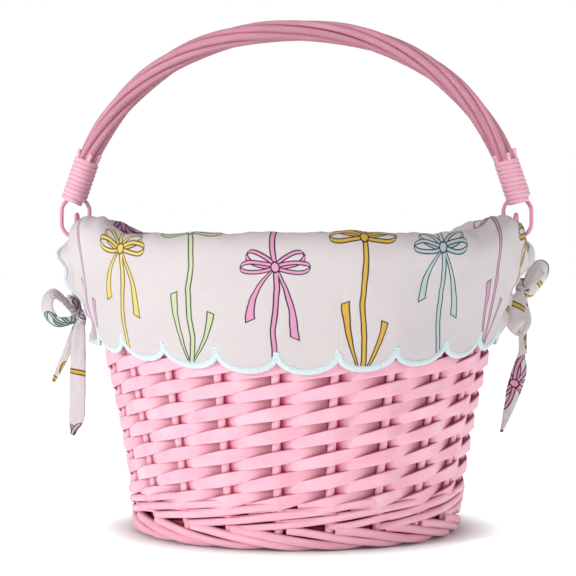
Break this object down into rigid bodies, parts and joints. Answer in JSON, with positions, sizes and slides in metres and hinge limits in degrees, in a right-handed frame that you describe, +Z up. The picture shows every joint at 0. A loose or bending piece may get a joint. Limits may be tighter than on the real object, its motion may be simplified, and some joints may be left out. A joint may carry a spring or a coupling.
{
  "type": "easter basket",
  "caption": "Round flared wicker basket with a gathered cloth liner folded over the rim, tied at both sides, and a twisted handle that swings on rod links.",
  "frame": {"origin": "centre of the footprint, on the surface the basket stands on", "axes": "+Z up, -Y towards the front of the basket, X along the line between the two handle hinges"},
  "size_m": [0.3534, 0.317, 0.3509],
  "materials": {
    "wicker": "painted pink willow rod, satin",
    "handle_rod": "painted dusty pink willow rod, satin",
    "cotton": "printed plain-weave cotton, matte",
    "edging": "overlocked thread edge, matte",
    "ribbon": "printed cotton tie, matte"
  },
  "bodies": {
    "basket": {"foot_border": "wicker", "base_sticks_lower": "wicker", "base_sticks_upper": "wicker", "base_weave": "wicker", "side_stakes": "wicker", "rim_border": "wicker", "rim_loop_left": "handle_rod", "rim_loop_right": "handle_rod", "wale_rod_1": "wicker", "wale_rod_2": "wicker", "wale_rod_3": "wicker", "weaver_01": "wicker", "weaver_02": "wicker", "weaver_03": "wicker", "weaver_04": "wicker", "weaver_05": "wicker", "weaver_06": "wicker", "weaver_07": "wicker", "weaver_08": "wicker", "weaver_09": "wicker", "weaver_10": "wicker", "weaver_11": "wicker", "weaver_12": "wicker", "weaver_13": "wicker", "weaver_14": "wicker", "weaver_15": "wicker", "weaver_16": "wicker", "weaver_17": "wicker", "weaver_18": "wicker", "weaver_19": "wicker", "weaver_20": "wicker", "weaver_21": "wicker", "liner_bag": "cotton", "cuff_front": "cotton", "cuff_back": "cotton", "cuff_edging_front": "edging", "cuff_edging_back": "edging", "tie_knot_left": "cotton", "tie_knot_right": "cotton", "tie_front_left": "cotton", "tie_front_right": "cotton", "tie_back_left": "cotton", "tie_back_right": "cotton"},
    "handle": {"handle_core": "handle_rod", "handle_wrap_left": "handle_rod", "handle_wrap_right": "handle_rod", "handle_ring_left": "handle_rod", "handle_ring_right": "handle_rod", "handle_strand_1": "handle_rod", "handle_strand_2": "handle_rod", "handle_strand_3": "handle_rod", "handle_strand_4": "handle_rod", "handle_strand_5": "handle_rod", "handle_strand_6": "handle_rod"}
  },
  "joints": [
    {"name": "handle_swing", "type": "hinge", "parent": "basket", "child": "handle", "pos_m": [0, 0, 0.2015], "axis": [1, 0, 0], "range_deg": [-50, 50]}
  ]
}
